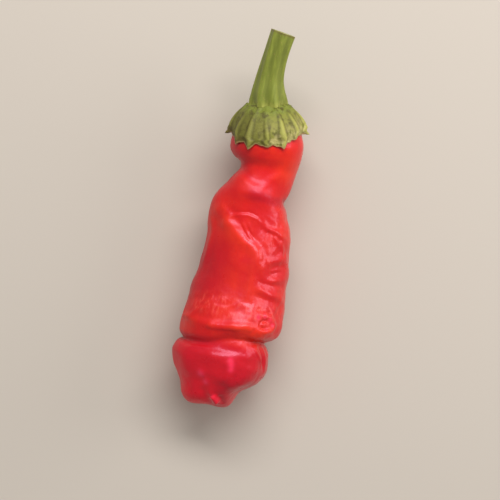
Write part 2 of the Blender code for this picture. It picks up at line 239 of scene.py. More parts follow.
# Folds: lines drawn on the skin through (turn, depth), each with its height and half its width
FOLDS = (
    # The loop on the upper front: its tail, the lip of its arch and the lines inside it
    (0.12, 0.90, ((138, 25.0), (133, 25.6), (123, 26.6), (115, 27.8))),
    (0.12, 0.50, (
        (117, 28.4), (111, 27.6), (103, 27.1), (92, 27.0), (85, 27.6), (78, 28.2),
        (74, 29.2),
    )),
    (0.06, 1.50, (
        (66, 43.0), (71, 40.8), (78, 39.0), (86, 37.4), (95, 35.8), (103, 33.8),
        (111, 31.4), (118, 28.6), (122, 26.4),
    )),
    (0.14, 0.50, ((99, 29.8), (96, 31.0), (93, 32.6), (88, 34.2), (83, 35.6))),
    (0.12, 0.60, ((91, 29.2), (90, 30.6), (87, 32.2), (84, 33.4))),
    # The long soft ridge down the front
    (0.42, 1.60, ((70, 38.6), (74, 42.0), (76, 45.4), (76, 49.4), (77, 53.0), (76, 57.4))),
    # Short folds across the right flank
    (0.50, 1.20, ((74, 28.2), (63, 31.0), (55, 31.8), (47, 32.2), (39, 33.0), (26, 34.2))),
    (0.30, 0.65, ((51, 32.8), (46, 34.6), (43, 36.6))),
    (0.30, 0.80, ((43, 34.2), (39, 35.2), (35, 36.8), (34, 39.0))),
    # The upper edge of the rolled rim, the sharp line under its crest and the lip of the spiral
    (0.28, 0.80, ((176, 64.4), (160, 64.2), (146, 63.8), (138, 62.2), (128, 60.8), (117, 60.0))),
    (0.10, 0.60, ((122, 59.6), (112, 59.4), (104, 59.6), (94, 58.6), (86, 57.0))),
    (0.30, 1.30, ((120, 65.6), (113, 65.6), (96, 65.2), (80, 64.5), (66, 64.0))),
    (0.52, 1.05, (
        (66, 60.4), (57, 59.4), (48, 59.5), (40, 60.4), (36, 62.0), (40, 63.7), (50, 64.4),
        (60, 64.0),
    )),
    # The upper edge of the end lobe, the fold down its front and the two on its right
    (0.16, 0.60, ((140, 75.4), (130, 74.4), (119, 73.7), (107, 72.9))),
    (0.36, 2.10, (
        (118, 76.0), (108, 75.4), (97, 74.6), (85, 73.8), (72, 73.0), (58, 72.4),
        (42, 72.2),
    )),
    (0.14, 1.90, ((92, 74.2), (82, 73.8), (72, 73.4), (62, 73.0), (50, 72.8))),
    (0.34, 1.60, ((86, 75.0), (82, 77.0), (80, 80.0), (80, 83.4))),
    (0.34, 0.50, ((54, 69.9), (48, 71.0), (41, 72.4), (35, 73.8), (31, 75.4))),
    (0.30, 0.55, ((33, 69.4), (28, 70.8), (24, 72.6), (20, 75.6))),
    # Folds on the left flank and round the back
    (0.40, 1.60, ((152, 27.0), (147, 34.0), (149, 42.0), (154, 49.0))),
    (0.65, 1.30, ((330, 24.0), (305, 26.8), (282, 27.2), (262, 25.4))),
    (0.60, 1.30, ((344, 33.0), (318, 35.4), (296, 38.8), (284, 43.8))),
    (0.55, 1.20, ((232, 32.6), (250, 36.2), (266, 37.0), (280, 35.0))),
    (0.55, 1.30, ((216, 40.4), (236, 43.4), (254, 43.6))),
    (0.50, 1.40, ((350, 58.4), (322, 56.4), (290, 57.4), (258, 57.0), (226, 58.6), (200, 61.0))),
    (0.50, 1.30, ((336, 44.0), (318, 47.8), (300, 50.4))),
    (0.40, 1.00, ((300, 21.0), (276, 22.4), (250, 20.6))),
    (0.40, 1.00, ((252, 49.0), (270, 50.6), (290, 48.6))),
)

# A line shapes the skin within this many times its half width, or its spread for a ledge. A fold
# fades over a share of its length towards each end, to the share left there, a ledge to nothing
FOLD_REACH = 3.0
FOLD_FADE = 0.25
FOLD_LEFT_AT_ENDS = 0.25
LEDGE_FADE = 0.20

# Ledges: height, width of the fall, how far the high side spreads, and the line. The left side of
# the line is the high one
LEDGES = (
    # The shoulder, which faces the neck
    (0.42, 3.2, 4.0, (
        (40, 2.0), (54, 6.6), (62, 9.2), (71, 11.8), (81, 14.0), (92, 15.1), (105, 15.3),
        (120, 14.9), (134, 14.6), (148, 14.8), (162, 15.4),
    )),
    # The broad band of the loop, and its thin arch, whose inside stands higher
    (0.98, 4.6, 3.8, (
        (51, 48.6), (56, 46.6), (61, 43.6), (67, 40.8), (74, 38.3), (82, 36.5), (91, 35.2),
        (100, 33.4), (109, 31.6), (116, 29.6), (121, 27.6), (127, 25.8), (134, 24.0),
        (142, 22.6),
    )),
    (0.28, 1.2, 2.6, (
        (66, 31.0), (72, 29.2), (78, 28.0), (85, 27.2), (92, 26.8), (103, 26.8),
        (112, 27.0), (119, 27.6), (126, 28.8), (131, 30.4),
    )),
    (0.30, 3.2, 2.4, (
        (90, 31.8), (98, 30.6), (106, 29.9), (113, 29.6), (120, 29.6), (128, 30.0),
        (134, 30.8),
    )),
    # Short ledges across the right flank, which face the neck
    (0.66, 3.6, 2.4, ((14, 38.4), (30, 38.8), (43, 39.6), (54, 40.8), (64, 42.4))),
    (0.46, 2.4, 1.8, ((14, 45.4), (34, 46.4), (46, 47.0), (58, 47.8))),
    (0.58, 3.0, 2.4, ((14, 52.8), (32, 52.2), (43, 52.0), (52, 51.6), (62, 50.8), (72, 49.8))),
    # The right half of the rim, and the edge under its crest
    (0.16, 5.0, 4.4, ((52, 59.4), (59, 59.6), (66, 60.0), (82, 60.8), (100, 61.6))),
    (0.34, 2.8, 1.8, (
        (56, 62.0), (66, 62.8), (76, 63.4), (88, 63.8), (100, 64.2), (112, 64.4),
        (124, 64.4), (138, 64.0), (152, 63.6), (166, 63.4),
    )),
    (0.22, 1.4, 3.0, ((128, 66.2), (113, 66.3), (96, 66.0), (80, 65.3), (67, 65.0), (58, 66.0))),
)

# The small nub on the front of the blossom end, made as a fold
NUB = (1.45, 1.05, ((84, 88.3), (80, 88.7), (75, 89.2), (70, 89.8), (65, 90.3)))

# Creases: as the folds, but pressed in
CREASES = (
    (0.50, 1.10, ((150, 8.0), (172, 10.2), (196, 11.2), (220, 10.0))),
    (0.55, 1.10, ((30, 17.6), (8, 19.6), (-14, 19.4), (-34, 17.6))),
    (0.12, 1.60, ((126, 23.0), (112, 22.8), (98, 22.4), (85, 21.6), (70, 20.0), (56, 18.2))),
    (0.14, 0.50, ((114, 27.0), (108, 26.5), (100, 26.3), (90, 26.0), (80, 26.8))),
    (0.15, 0.34, ((102, 30.2), (98, 31.8), (95, 33.2), (90, 34.8), (85, 36.2))),
    (0.15, 0.36, ((91, 31.6), (88, 32.8), (84, 34.0), (80, 35.0))),
    (0.45, 0.60, ((66, 32.2), (60, 32.4), (52, 32.8), (44, 33.8), (38, 35.0))),
    (0.26, 0.50, ((55, 33.0), (53, 34.6), (51, 37.0))),
    (0.08, 0.70, ((70, 42.8), (66, 41.4), (62, 39.6))),
    (0.25, 1.20, ((57, 43.4), (51, 43.2), (44, 42.8), (36, 42.4), (20, 42.0))),
    (0.28, 0.60, ((54, 45.9), (48, 45.3), (40, 44.6), (26, 44.0))),
    (0.24, 0.70, ((66, 49.0), (58, 49.2), (48, 49.2), (36, 49.0), (22, 49.4))),
    (0.26, 1.00, ((70, 53.4), (62, 53.8), (53, 54.2), (43, 54.4), (26, 54.8))),
    (0.18, 1.00, ((150, 58.6), (128, 57.4), (104, 55.4))),
    (0.62, 0.56, (
        (48, 61.1), (51, 60.9), (55, 61.3), (57, 62.1), (56, 63.0), (52, 63.5), (46, 63.1),
    )),
    (0.40, 0.60, ((44, 68.9), (39, 70.3), (33, 71.9), (28, 73.6), (24, 75.6))),
    (0.45, 1.30, ((318, 30.0), (296, 31.8), (272, 31.6))),
    (0.45, 1.20, ((306, 53.4), (280, 54.0), (250, 53.0))),
    (0.36, 1.80, ((112, 86.6), (102, 88.4), (92, 90.2), (76, 91.6))),
    (0.40, 0.90, ((72, 87.2), (60, 88.8), (46, 90.4))),
    (0.80, 1.30, ((214, 86.6), (216, 90.0), (222, 91.8))),
    (0.70, 1.20, ((298, 86.6), (294, 90.0), (288, 91.8))),
)

# Bumps and dimples: height (negative for a dimple), radius, turn and depth
BUMPS = (
    (0.16, 1.30, 97, 29.4),
    (-0.35, 3.40, 61, 30.4),
    (0.60, 4.00, 134, 16.6),
    (-0.30, 0.75, 46, 58.2),
    (-0.22, 0.70, 62, 57.9),
    (-0.25, 0.70, 64, 64.6),
    (0.28, 2.60, 72, 60.4),
    (0.45, 3.20, 50, 63.4),
    (0.34, 1.70, 111, 82.4),
    (0.26, 1.40, 100, 84.4),
    (0.45, 3.00, 60, 82.0),
    (0.40, 4.00, 150, 24.0),
    (0.30, 1.80, 141, 26.6),
    (0.45, 3.50, 300, 80.0),
    (0.45, 3.50, 236, 79.0),
    # The lobes round the blossom end
    (1.60, 4.40, 172, 91.6),
    (0.70, 3.60, 136, 91.8),
    (0.30, 2.60, 22, 91.2),
    (0.80, 3.00, 262, 91.4),
    (0.60, 2.60, 318, 91.0),
)

# Painted highlights: soft pink spots painted on the skin: radius, turn and depth
PAINTED_HIGHLIGHT_SPOTS = (
    # The front of the end lobe and the nub
    (1.3, 112, 82.8),
    (1.0, 103, 84.8),
    (1.1, 81, 74.8),
    (1.0, 79, 76.2),
    (0.9, 77, 77.6),
    (0.9, 80, 88.7),
    (1.0, 73, 89.4),
    # The ring of the spiral
    (0.8, 61, 60.2),
    (0.8, 53, 59.6),
    (0.8, 45, 60.2),
    (0.8, 40, 61.8),
    (0.7, 47, 64.0),
)

# The skin's slow unevenness, which fades out under the calyx
UNEVEN_HEIGHT = 0.45
UNEVEN_SIZE = 8.0
UNEVEN_START = 3.0
UNEVEN_FULL = 12.0

# The fine crinkles: height and size. The right flank has all of them, and the smooth left side, the
# back and the rim have a share. Then, for each, the depths where they start, where they are full,
# where they start to end and where they have ended
CRINKLES = ((0.20, 4.2), (0.13, 2.4), (0.06, 1.2))
SMOOTH_SHARE = 0.3
BACK_SHARE = 0.7
RIM_SHARE = 0.4
FLANK_CRINKLED = (24.0, 32.0, 80.0, 90.0)
BACK_CRINKLED = (14.0, 24.0, 80.0, 90.0)
RIM_CRINKLED = (53.0, 58.0, 65.0, 69.0)

# The flank and the back start and are full where the cosine of the turn from their middle is this
FLANK_FACING = (0.05, 0.55)
BACK_FACING = (0.1, 0.7)

# The painted shade in the skin's colour counts the ring groove as fully hollow where it is cut
# this deep, and skin that is pressed in further than the start. The painted warmth of lit crests
# counts them from one height up to the other
HOLLOW_DEPTH = 1.8
HOLLOW_START = 0.15
CREST_START = 0.1
CREST_FULL = 1.0

# The skin is warmest on the side that this turn faces, and is painted darker, as in shade, towards
# the side opposite
WARM_TURN = 50.0

# How many points each piece has round it and from end to end
POD_SEGMENTS = 280
POD_RINGS = 336
CALYX_SEGMENTS = 480
CALYX_RINGS = 96
STALK_SEGMENTS = 192
STALK_RINGS = 180

# The points are crowded round this turn, where the folds are finest, by this many degrees
CROWDED_TURN = 70.0
CROWDING = 24.0

# The share of the pod's rings in each rounded end, and how the others are spaced: share of the
# rings and share of the length
DOME_SHARE = 0.11
RING_SPACING = ((0.0, 0.0), (0.66, 0.77), (0.87, 0.868), (1.0, 1.0))

# The calyx: its hem between the teeth as turn and depth, its wall and the clearance to the pod
HEM = (
    (0, -2.2),
    (28, -1.9),
    (50, -0.5),
    (68, 0.4),
    (110, 0.7),
    (142, 0.2),
    (166, -1.2),
    (184, -1.8),
    (232, -0.9),
    (290, -0.7),
    (330, -1.4),
    (360, -2.2),
)
CLEARANCE = 0.12
WALL_AT_HEM = 0.45
WALL_AT_SHOULDER = 1.05
THINNEST_WALL = 0.3

# On the way from its middle to its hem, the plate round the stalk ends at the first share, and the
# skirt starts at the second. The plate rises as a cone inside the stalk's foot
PLATE_SHARE = 0.30
SKIRT_SHARE = 0.62
SKIRT = 2.5
PLATE_DEPTH = -10.3
PLATE_RADIUS = 7.4
CONE = 5.0
SHOULDER_BULGE = 0.35

# Its ribs: turn, height, length of the tooth past the hem, and how far the tooth stands off. They
# wander by these degrees, and the larger the two bends are, the more often. The hem is ragged
RIBS = (
    (3, 0.95, 0.9, 1.7),
    (36, 0.70, 0.3, 0.1),
    (63, 0.90, 1.2, 0.2),
    (90, 0.50, 0.4, 0.1),
    (116, 0.90, 1.9, 0.4),
    (142, 0.70, 1.5, 0.2),
    (176, 0.95, 1.8, 1.6),
    (206, 0.70, 1.0, 0.3),
    (234, 0.90, 1.9, 0.9),
    (263, 0.60, 0.8, 0.2),
    (292, 0.90, 2.0, 0.4),
    (326, 0.70, 1.0, 0.3),
)
RIB_HALF_TURN = 5.4
RIB_WANDER = 6.5
RIB_BENDS_ROUND = 3.0
RIB_BENDS_DOWN = 4.0
RIB_START = 0.25
RIB_FULL = 0.60
RIB_LEFT_AT_HEM = 0.45
TOOTH_HALF_TURN = 9.5
TOOTH_POINT = 1.10
TOOTH_SWELL = 0.55
HEM_RAGGED = 0.60
HEM_RAGGED_SIZE = 0.35
LUMPS = ((0.20, 2.6), (0.12, 1.2))

# The thin knobbed collar round the stalk's foot: its height, where it is and how wide, as shares of
# the way to the hem, and how much of it follows the ribs and how much the knobs
COLLAR_HEIGHT = 0.34
COLLAR_PLACE = 0.33
COLLAR_WIDTH = 0.085
COLLAR_RIBS = 1.6
COLLAR_KNOBS = 1.4
COLLAR_KNOB_SIZE = 1.8

# The stalk's middle line from its cut end to its foot: across, along and height, with its radius
STALK_ROUTE = (
    (-1.70, 34.80, 26.50, 4.40),
    (-2.20, 31.50, 26.00, 4.25),
    (-2.70, 27.50, 25.20, 4.20),
    (-3.10, 23.00, 24.10, 4.40),
    (-3.20, 19.00, 23.00, 4.85),
    (-2.90, 15.60, 22.05, 5.60),
    (-2.50, 13.20, 21.30, 6.10),
    (-2.10, 11.10, 20.60, 6.40),
)

# Its ridges: depth as a share of the radius, half width and twist in degrees, how far they spread
# at the foot, and the height of ridge that stays where it is there. Then the share of its rings
# over each end, and how far the pith has sunk, from which share of the cut's radius to which
STALK_RIDGE_SHARE = 0.12
STALK_RIDGE_HALF_TURN = 15.0
STALK_TWIST = 18.0
FOOT_SPREAD = 0.5
FOOT_START = 0.7
FOOT_UNMOVED = 0.35
STALK_CAP = 0.12
PITH_DISH = 0.35
PITH_DISH_EDGE = 0.95
PITH_DISH_FLOOR = 0.6

# How far everything is moved so that the middle of the solids is over the origin
OVER_ORIGIN = (0.45, 28.72, 0.0)

# The camera looks straight down. It leans with the pepper, and sees the middle of the photograph
# at this depth and this far across the pod
CAMERA_LENS = 135.0
CAMERA_SENSOR = 36.0
CAMERA_DEPTH = 38.5
CAMERA_ACROSS = 1.4
CAMERA_HEIGHT = 15.0
CAMERA_LEAN_DEGREES = 11.2
PHOTO_PIXELS = 500
MM_PER_PIXEL = 0.34

# The lamps: place and size in metres, and watts. They face the pepper
KEY_LIGHT = ((0.04, 0.54, 0.68), (1.00, 0.28), 8.0)
SIDE_LIGHT = ((0.74, 0.37, 0.35), (0.55, 0.42), 2.2)
LAMP_TINT = (1.0, 0.97, 0.98)
SKY_TINT = (1.0, 0.99, 0.97, 1.0)
SKY_STRENGTH = 0.41
FLOOR_SIZE = 6.0


def through(points, places):
    """Values at the places asked for, on a smooth curve through (place, value) points."""
    at, value = np.array(points, float).T
    slope = np.gradient(value, at)
    start = np.clip(np.searchsorted(at, places, side="right") - 1, 0, len(at) - 2)
    span = at[start + 1] - at[start]
    t = np.clip((places - at[start]) / span, 0.0, 1.0)
    return (
        value[start] * (1 + 2 * t) * (1 - t) ** 2
        + value[start + 1] * t**2 * (3 - 2 * t)
        + slope[start] * span * t * (1 - t) ** 2
        - slope[start + 1] * span * t**2 * (1 - t)
    )


def step(low, high, value):
    """0 below low, 1 above high, and smooth between them."""
    t = np.clip((value - low) / (high - low), 0.0, 1.0)
    return t * t * (3 - 2 * t)


def band(place, start, full, last, end):
    """1 from full to last, and smooth down to 0 at start and at end."""
    return step(start, full, place) * step(end, last, place)


def unit(vectors):
    """Vectors of the same directions with a length of 1."""
    length = np.linalg.norm(vectors, axis=-1, keepdims=True)
    return vectors / np.maximum(length, 1e-9)


def spine(depth):
    """The point of the pod's spine at a depth."""
    across = through([(d, x) for d, x, _ in SPINE], depth)
    height = through([(d, z) for d, _, z in SPINE], depth)
    return np.stack([across, -depth, height], axis=-1)


def section(depth):
    """The spine's point at a depth, with the directions across, to the front and down the pod."""
    reach = 0.5
    middle = spine(depth)
    down = unit(spine(depth + reach) - spine(depth - reach))
    right = np.array([1.0, 0.0, 0.0])
    across = unit(right - down * (down @ right)[..., None])
    return middle, across, np.cross(down, across), down


def rounded(share, squareness):
    """The radius left, as a share, at a share of the way into a rounded end."""
    return np.clip(1 - np.clip(share, 0, 1) ** squareness, 0, 1) ** (1 / squareness)


def dome(depth):
    """1 along the pod, falling to 0 at its top and its tip."""
    top = rounded((POD_TOP + TOP_DOME - depth) / TOP_DOME, TOP_SQUARENESS)
    tip = rounded((depth - POD_TIP + TIP_DOME) / TIP_DOME, TIP_SQUARENESS)
    return top * tip


def groove(turn, depth):
    """How deep the ring groove is cut at each place, in millimetres."""
    round_turn = np.mod(turn, 360.0)
    off = np.abs(depth - through(GROOVE_LINE, round_turn))
    valley = np.exp(-((off / GROOVE_WIDTH) ** GROOVE_SHARPNESS))
    notch = np.exp(-((off / NOTCH_WIDTH) ** NOTCH_SHARPNESS))
    return through(GROOVE_CUT, round_turn) * valley + through(NOTCH_CUT, round_turn) * notch


def plain_skin(turn, depth):
    """The pod without its folds: its outline, its furrows and its ring groove."""
    angle = np.radians(turn)
    cosine, sine = np.cos(angle), np.sin(angle)
    left, right = through(LEFT_SIDE, depth), through(RIGHT_SIDE, depth)
    front, back = through(FRONT_SIDE, depth), through(BACK_SIDE, depth)
    wide = (right + left) / 2 + (right - left) / 2 * cosine
    deep = (front + back) / 2 + (front - back) / 2 * sine
    lobes = 1.0
    for count, share, crest, twist in LOBES:
        wave = np.cos(count * (angle - np.radians(crest + twist * depth)))
        lobes = lobes + share * wave * step(LOBES_START, LOBES_FULL, depth)
    share = dome(depth) * (lobes - groove(turn, depth) / ((wide + deep) / 2))
    middle, across, outward, _ = section(depth)
    return (
        middle
        + across * (wide * cosine * share)[..., None]
        + outward * (deep * sine * share)[..., None]
    )


def plain_normal(turn, depth):
    """The direction out of the plain skin. At the two ends it is the spine's."""
    reach_turn, reach_depth, off_pole = 1.0, 0.05, 0.002
    low = np.maximum(depth - reach_depth, POD_TOP + off_pole)
    high = np.minimum(depth + reach_depth, POD_TIP - off_pole)
    along_turn = plain_skin(turn + reach_turn, depth) - plain_skin(turn - reach_turn, depth)
    along_depth = plain_skin(turn, high) - plain_skin(turn, low)
    normal = np.cross(along_turn, along_depth)
    size = np.linalg.norm(normal, axis=-1)
    _, _, _, down = section(depth)
    ends = np.where((depth > 0)[..., None], down, -down)
    return np.where((size < 1e-6)[..., None], ends, unit(normal))


def near_line(points, reach, turns_and_depths):
    """The points within reach of a line on the skin, with how far each is from it and along it.

    The distance is below 0 on the left of the line, as seen from outside, going along it."""
    steps = 12 * len(turns_and_depths)
    share = np.linspace(0, 1, steps)
    knots = np.linspace(0, 1, len(turns_and_depths))
    turn = through(list(zip(knots, [t for t, _ in turns_and_depths])), share)
    depth = through(list(zip(knots, [d for _, d in turns_and_depths])), share)
    line = plain_skin(turn, depth)
    rightward = np.cross(np.gradient(line, axis=0), plain_normal(turn, depth))
    low, high = line.min(axis=0) - reach, line.max(axis=0) + reach
    close = np.flatnonzero(np.all((points > low) & (points < high), axis=1))
    gaps = np.full(len(close), np.inf)
    nearest = np.zeros(len(close), int)
    for index, place in enumerate(line):
        gap = np.linalg.norm(points[close] - place, axis=1)
        closer = gap < gaps
        gaps[closer] = gap[closer]
        nearest[closer] = index
    off = points[close] - line[nearest]
    side = np.where(np.sum(off * rightward[nearest], axis=1) < 0, -1.0, 1.0)
    return close, gaps * side, share[nearest]


def line_fade(along):
    """The share of a fold's height at each place along it, which dies away towards both ends."""
    whole = band(along, 0.0, FOLD_FADE, 1 - FOLD_FADE, 1.0)
    return whole * (1 - FOLD_LEFT_AT_ENDS) + FOLD_LEFT_AT_ENDS


def line_relief(points, height, half_width, turns_and_depths):
    """How high a fold stands at each point."""
    close, distance, along = near_line(points, FOLD_REACH * half_width, turns_and_depths)
    out = np.zeros(len(points))
    out[close] = height * line_fade(along) * np.exp(-((distance / half_width) ** 2))
    return out


def ledge_relief(points, height, width, spread, turns_and_depths):
    """A ledge: the skin stands high on the left of the line, sinks back slowly further left, and
    falls within the width to the skin on its right."""
    close, distance, along = near_line(points, FOLD_REACH * spread, turns_and_depths)
    whole = band(along, 0.0, LEDGE_FADE, 1 - LEDGE_FADE, 1.0)
    fall = step(width / 2, -width / 2, distance)
    sunk = np.exp(-((np.minimum(distance, 0) / spread) ** 2))
    out = np.zeros(len(points))
    out[close] = height * whole * fall * sunk
    return out


def spot_distance(points, turn, depth):
    """How far each point is from a place on the pod."""
    place = plain_skin(np.array([float(turn)]), np.array([float(depth)]))
    return np.linalg.norm(points - place, axis=1)


def bumpiness(points, size):
    """Smooth unevenness from -1 to 1, with hills of about the size given."""
    return np.array([noise.noise(Vector(point / size)) for point in points])


def crinkle_share(turn, depth):
    """How much the skin is crinkled: most on the right flank and least on the smooth left side."""
    angle = np.radians(turn)
    flank = step(*FLANK_FACING, np.cos(angle)) * band(depth, *FLANK_CRINKLED)
    back = step(*BACK_FACING, -np.sin(angle)) * band(depth, *BACK_CRINKLED)
    rim = band(depth, *RIM_CRINKLED)
    return np.clip(SMOOTH_SHARE + flank + BACK_SHARE * back + RIM_SHARE * rim, 0, 1)


def relief(points, turn, depth):
    """How far the skin stands out from the plain skin at each point, in millimetres."""
    out = np.zeros(len(points))
    for height, half_width, line in FOLDS + (NUB,):
        out += line_relief(points, height, half_width, line)
    for height, half_width, line in CREASES:
        out -= line_relief(points, height, half_width, line)
    for height, width, spread, line in LEDGES:
        out += ledge_relief(points, height, width, spread, line)
    for height, radius, spot_turn, spot_depth in BUMPS:
        out += height * np.exp(-((spot_distance(points, spot_turn, spot_depth) / radius) ** 2))
    clear_of_calyx = step(UNEVEN_START, UNEVEN_FULL, depth)
    crinkled = crinkle_share(turn, depth) * clear_of_calyx
    for height, size in CRINKLES:
        out += height * bumpiness(points, size) * crinkled
    return out + UNEVEN_HEIGHT * bumpiness(points, UNEVEN_SIZE) * clear_of_calyx


def ring_depth(fall):
    """The depth of a ring of the pod, for its share of the way from pole to pole."""
    top = POD_TOP + TOP_DOME * (1 - np.cos(np.clip(fall / DOME_SHARE, 0, 1) * math.pi / 2))
    tip = TIP_DOME * (1 - np.cos(np.clip((1 - fall) / DOME_SHARE, 0, 1) * math.pi / 2))
    way = np.clip((fall - DOME_SHARE) / (1 - 2 * DOME_SHARE), 0, 1)
    length = POD_TIP - TIP_DOME - POD_TOP - TOP_DOME
    shares, places = zip(*RING_SPACING)
    between = POD_TOP + TOP_DOME + length * np.interp(way, shares, places)
    ends = np.where(fall < 0.5, top, POD_TIP - tip)
    return np.where(np.minimum(fall, 1 - fall) < DOME_SHARE, ends, between)


def pod_place(turn, fall):
    """Points of the pod, with what the skin's colour needs to know of each one."""
    depth = ring_depth(fall)
    off = through(GROOVE_LINE, np.mod(turn, 360.0)) - GROOVE_MIDDLE
    depth = depth + off * np.exp(-(((depth - GROOVE_MIDDLE) / GROOVE_REACH) ** 2))
    points = plain_skin(turn, depth)
    out = relief(points, turn, depth)
    points = points + plain_normal(turn, depth) * out[:, None]
    points[:, 2] = np.maximum(points[:, 2], 0.0)
    # Painted highlights: how near each point is to the pink spots
    painted_highlight = sum(
        np.exp(-((spot_distance(points, *spot) / radius) ** 2)) for radius, *spot in PAINTED_HIGHLIGHT_SPOTS
    )
    creased = np.clip(-out - HOLLOW_START, 0, 1)
    facts = {
        "painted_highlight": np.clip(painted_highlight, 0, 1),
        "hollow": np.clip(groove(turn, depth) / HOLLOW_DEPTH + creased, 0, 1),
        "crest": step(CREST_START, CREST_FULL, out),
        "along": np.clip(depth / POD_TIP, 0, 1),
        "side": 0.5 + 0.5 * np.cos(np.radians(turn - WARM_TURN)),
    }
    return points, facts


def off_turn(turn, centre):
    """How many degrees apart two turns are, from -180 to 180."""
    return (turn - centre + 180) % 360 - 180


def ribs(turn, way):
    """At each place, the height of the rib, the length of the tooth and how far it stands off."""
    angle = np.radians(turn)
    x, y = RIB_BENDS_ROUND * np.cos(angle), RIB_BENDS_ROUND * np.sin(angle)
    around = np.stack([x, y, RIB_BENDS_DOWN * way], axis=-1)
    wandered = turn + RIB_WANDER * bumpiness(around, 1.0)
    height, length, stand = np.zeros((3, len(turn)))
    for centre, rib_height, tooth_length, flare in RIBS:
        off = np.abs(off_turn(wandered, centre))
        tooth = np.clip(1 - off / TOOTH_HALF_TURN, 0, 1) ** TOOTH_POINT
        height += rib_height * np.exp(-((off / RIB_HALF_TURN) ** 2))
        length += tooth_length * tooth
        stand += flare * tooth
    return height, length + HEM_RAGGED * bumpiness(around, HEM_RAGGED_SIZE), stand


def disc(turn, depth, radius):
    """Points round the spine, with the direction halfway between out from it and up it."""
    middle, across, outward, down = section(depth)
    angle = np.radians(turn)[:, None]
    out = across * np.cos(angle) + outward * np.sin(angle)
    return middle + out * radius[:, None], unit(out - down)


def calyx_place(turn, fall):
    """Points of the calyx. The first half of the fall is its outside, the second its inside."""
    way = 2 * np.minimum(fall, 1 - fall)
    rib, _, _ = ribs(turn, way)
    _, length, stand = ribs(turn, np.ones(len(turn)))
    skirt = np.clip((way - SKIRT_SHARE) / (1 - SKIRT_SHARE), 0, 1)
    arc = np.sin(np.clip(way / SKIRT_SHARE, 0, 1) * math.pi / 2)
    hem = through(HEM, np.mod(turn, 360.0))
    skirt_top = hem - SKIRT
    depth = POD_TOP + (skirt_top - POD_TOP) * (1 - np.sqrt(np.clip(1 - arc**2, 0, 1)))
    depth = depth + (SKIRT + length) * skirt
    normal = plain_normal(turn, depth)
    lift = CLEARANCE + stand * step(0.5, 1.0, skirt)
    inner = plain_skin(turn, depth) + normal * lift[:, None]
    wall = WALL_AT_SHOULDER + (WALL_AT_HEM - WALL_AT_SHOULDER) * step(SKIRT_SHARE, 1.0, way)
    shown = step(RIB_START, RIB_FULL, way) * (1 - (1 - RIB_LEFT_AT_HEM) * step(0.6, 1.0, skirt))
    wall = wall + rib * shown + TOOTH_SWELL * stand * step(0.0, 0.5, skirt) * (1 - skirt)
    open_flesh = np.clip(1 - rib, 0, 1) * step(RIB_START, RIB_FULL, way)
    lumps = sum(height * bumpiness(inner, size) for height, size in LUMPS)
    wall = np.maximum(wall + lumps * open_flesh * step(1.0, 0.9, way), THINNEST_WALL)
    outer = inner + normal * wall[:, None]
    share = np.clip(way / PLATE_SHARE, 0, 1)
    plate, corner = disc(turn, PLATE_DEPTH - CONE * (1 - share), PLATE_RADIUS * share)
    blend = step(PLATE_SHARE, SKIRT_SHARE, way)
    knobs = COLLAR_RIBS * rib + COLLAR_KNOBS * bumpiness(inner, COLLAR_KNOB_SIZE)
    collar = COLLAR_HEIGHT * knobs * np.exp(-(((way - COLLAR_PLACE) / COLLAR_WIDTH) ** 2))
    raised = SHOULDER_BULGE * 4 * blend * (1 - blend) + collar
    outer = plate * (1 - blend[:, None]) + outer * blend[:, None] + corner * raised[:, None]
    outside = fall <= 0.5
    facts = {
        "rib": np.clip(rib, 0, 1) * shown,
        "edge": step(0.80, 1.0, way) * (1 - 0.8 * step(0.3, 1.2, stand)),
        "lump": 0.5 + 2.0 * lumps,
        "way": way,
        "side": 0.5 + 0.5 * np.cos(np.radians(turn)),
    }
    return np.where(outside[:, None], outer, inner), facts


def stalk_place(turn, fall):
    """Points of the stalk: over the cut end, along its ridged side and over its foot."""
    way = np.clip((fall - STALK_CAP) / (1 - 2 * STALK_CAP), 0, 1)
    knots = np.linspace(0, 1, len(STALK_ROUTE))
    columns = [list(zip(knots, column)) for column in zip(*STALK_ROUTE)]
    middle = np.stack([through(column, way) for column in columns[:3]], axis=-1)
    reach = 0.02
    ahead = np.stack([through(column, way + reach) for column in columns[:3]], axis=-1)
    behind = np.stack([through(column, way - reach) for column in columns[:3]], axis=-1)
    down = unit(ahead - behind)
    right = np.array([1.0, 0.0, 0.0])
    across = unit(right - down * (down @ right)[:, None])
    outward = np.cross(down, across)
    ridges = np.zeros(len(turn))
    for centre, _, _, _ in RIBS[::2]:
        off = off_turn(turn, centre + STALK_TWIST * (1 - way))
        ridges += np.exp(-((off / STALK_RIDGE_HALF_TURN) ** 2))
    radius = through(columns[3], way) * (1 - STALK_RIDGE_SHARE * (1 - ridges))
    radius = radius + FOOT_SPREAD * (ridges - FOOT_UNMOVED) * step(FOOT_START, 1.0, way)
    share = np.clip(np.minimum(fall, 1 - fall) / STALK_CAP, 0, 1)
    angle = np.radians(turn)
    points = (
        middle
        + across * (radius * share * np.cos(angle))[:, None]
        + outward * (radius * share * np.sin(angle))[:, None]
    )
    on_cut = fall < STALK_CAP
    dish = PITH_DISH * step(PITH_DISH_EDGE, PITH_DISH_FLOOR, share) * on_cut
    points = points + down * dish[:, None]
    facts = {
        "ridge": ridges,
        "way": way,
        "cut": np.where(on_cut, 1.0, 0.0),
        "share": share,
    }
    return points, facts


class Value:
    """A socket of a finish. The operators add the Math nodes that work them out."""

    def __init__(self, finish, socket):
        self.finish = finish
        self.socket = socket

    def worked(self, operation, first, second):
        """The result of one Math node."""
        return self.finish.node("ShaderNodeMath", {"operation": operation}, {0: first, 1: second})

    def __add__(self, other):
        return self.worked("ADD", self, other)

    def __radd__(self, other):
        return self.worked("ADD", other, self)

    def __sub__(self, other):
        return self.worked("SUBTRACT", self, other)

    def __rsub__(self, other):
        return self.worked("SUBTRACT", other, self)

    def __mul__(self, other):
        return self.worked("MULTIPLY", self, other)

    def __rmul__(self, other):
        return self.worked("MULTIPLY", other, self)


